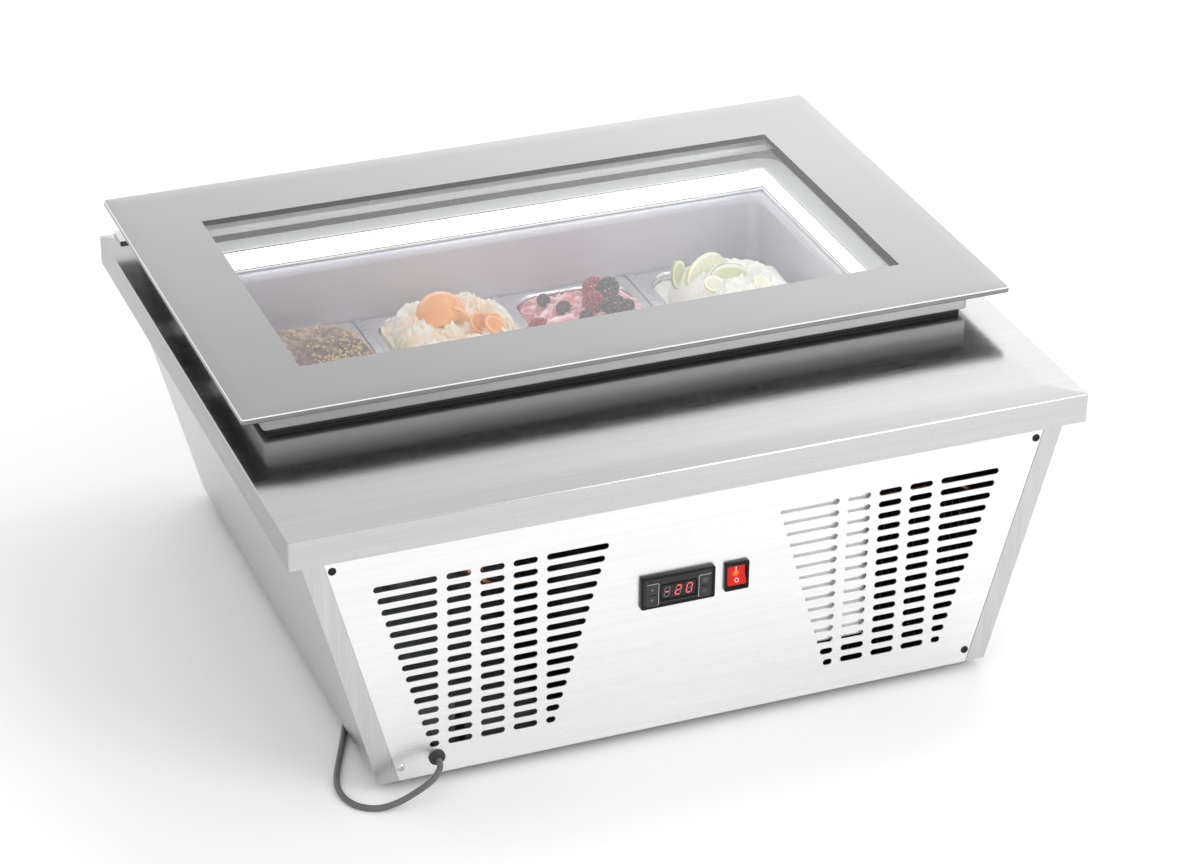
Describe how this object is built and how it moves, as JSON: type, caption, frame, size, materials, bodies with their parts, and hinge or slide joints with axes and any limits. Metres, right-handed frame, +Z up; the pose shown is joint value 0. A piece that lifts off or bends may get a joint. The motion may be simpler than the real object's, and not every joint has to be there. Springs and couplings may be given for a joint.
{
  "type": "ice cream dipping cabinet",
  "caption": "Countertop dipping cabinet: a chilled, lit well of ice cream pans under a hinged glass lid, with a slotted front panel, a controller and a rocker switch.",
  "frame": {"origin": "on the floor under the centre of the worktop", "axes": "+Z up, -Y out of the front panel with the controls, +X to the right of someone facing that panel"},
  "size_m": [0.8, 0.7181, 0.34],
  "materials": {
    "brushed_steel": "satin",
    "galvanised_steel": "matte",
    "clear_silicone": "satin",
    "black_screws": "satin",
    "liner_steel": "satin",
    "foam": "matte",
    "copper": "satin",
    "white_plastic": "satin",
    "led_strip": "matte",
    "opal_diffuser": "satin",
    "black_enamel": "satin",
    "black_rubber": "matte",
    "black_plastic": "satin",
    "grey_plastic": "matte",
    "aluminium_fins": "satin",
    "fan_aluminium": "satin",
    "display_lens": "gloss",
    "key_membrane": "satin",
    "red_rocker": "gloss",
    "cord_sheath": "satin",
    "plug_nickel": "polished",
    "lid_glass": "gloss",
    "lid_frame_metal": "satin",
    "gasket_rubber": "matte",
    "bracket_steel": "satin",
    "pan_steel": "satin",
    "chocolate_ice": "satin",
    "cream_ice": "satin",
    "berry_ice": "satin",
    "lemon_ice": "satin"
  },
  "bodies": {
    "cabinet": {"worktop": "brushed_steel", "side_panel_left": "brushed_steel", "side_panel_right": "brushed_steel", "front_panel": "brushed_steel", "air_baffle": "galvanised_steel", "rear_panel": "brushed_steel", "base_plate": "galvanised_steel", "bulkhead_panel": "galvanised_steel", "feet": "clear_silicone", "panel_screws": "black_screws", "well_liner": "liner_steel", "foam_insulation": "foam", "evaporator_coil": "copper", "pan_rails": "liner_steel", "led_housing": "white_plastic", "led_strip": "led_strip", "led_diffuser": "opal_diffuser", "compressor_shell": "black_enamel", "compressor_mounts": "black_rubber", "compressor_terminal_cover": "black_plastic", "condenser_fins": "aluminium_fins", "condenser_tube": "copper", "fan_shroud": "black_enamel", "fan_bracket": "galvanised_steel", "fan_motor": "black_enamel", "filter_drier": "copper", "suction_pipe": "copper", "discharge_pipe": "copper", "capillary_pipe": "copper", "electrical_box": "grey_plastic", "controller_housing": "black_plastic", "controller_lens": "display_lens", "switch_housing": "black_plastic", "cord_grommet": "black_rubber", "power_cord": "cord_sheath", "cord_coil": "cord_sheath", "cord_tie": "black_plastic", "plug_body": "black_rubber", "plug_pins": "plug_nickel", "hinge_bases": "bracket_steel", "hinge_pins": "bracket_steel"},
    "lid": {"lid_glass": "lid_glass", "lid_frame": "lid_frame_metal", "lid_gasket": "gasket_rubber", "lid_clips": "bracket_steel", "hinge_arms": "bracket_steel"},
    "rocker": {"switch_rocker": "red_rocker"},
    "key_up": {"button_up": "key_membrane"},
    "key_down": {"button_down": "key_membrane"},
    "key_set": {"button_set": "key_membrane"},
    "key_standby": {"button_standby": "key_membrane"},
    "fan": {"fan_blade": "fan_aluminium"},
    "pan_1_unit": {"pan_1": "pan_steel", "ice_cream_1": "chocolate_ice"},
    "pan_2_unit": {"pan_2": "pan_steel", "ice_cream_2": "cream_ice"},
    "pan_3_unit": {"pan_3": "pan_steel", "ice_cream_3": "berry_ice"},
    "pan_4_unit": {"pan_4": "pan_steel", "ice_cream_4": "lemon_ice"}
  },
  "joints": [
    {"name": "lid_hinge", "type": "hinge", "parent": "cabinet", "child": "lid", "pos_m": [0, 0.32, 0.316], "axis": [-1, 0, 0], "range_deg": [0, 80]},
    {"name": "switch_rock", "type": "hinge", "parent": "cabinet", "child": "rocker", "pos_m": [0.043, -0.312, 0.1643], "axis": [1, 0, 0], "range_deg": [0, 20]},
    {"name": "fan_spin", "type": "hinge", "parent": "cabinet", "child": "fan", "pos_m": [0.202, -0.248, 0.112], "axis": [0, 1, 0], "continuous": true},
    {"name": "button_up_press", "type": "slide", "parent": "cabinet", "child": "key_up", "axis": [0, 1, 0], "range_m": [0, 0.0006], "stiffness_N_per_m": 1500, "springref_m": -0.0004},
    {"name": "button_down_press", "type": "slide", "parent": "cabinet", "child": "key_down", "axis": [0, 1, 0], "range_m": [0, 0.0006], "stiffness_N_per_m": 1500, "springref_m": -0.0004},
    {"name": "button_set_press", "type": "slide", "parent": "cabinet", "child": "key_set", "axis": [0, 1, 0], "range_m": [0, 0.0006], "stiffness_N_per_m": 1500, "springref_m": -0.0004},
    {"name": "button_standby_press", "type": "slide", "parent": "cabinet", "child": "key_standby", "axis": [0, 1, 0], "range_m": [0, 0.0006], "stiffness_N_per_m": 1500, "springref_m": -0.0004},
    {"name": "pan_1_lift", "type": "slide", "parent": "cabinet", "child": "pan_1_unit", "axis": [0, 0, 1], "range_m": [0, 0.07]},
    {"name": "pan_2_lift", "type": "slide", "parent": "cabinet", "child": "pan_2_unit", "axis": [0, 0, 1], "range_m": [0, 0.07]},
    {"name": "pan_3_lift", "type": "slide", "parent": "cabinet", "child": "pan_3_unit", "axis": [0, 0, 1], "range_m": [0, 0.07]},
    {"name": "pan_4_lift", "type": "slide", "parent": "cabinet", "child": "pan_4_unit", "axis": [0, 0, 1], "range_m": [0, 0.07]}
  ]
}
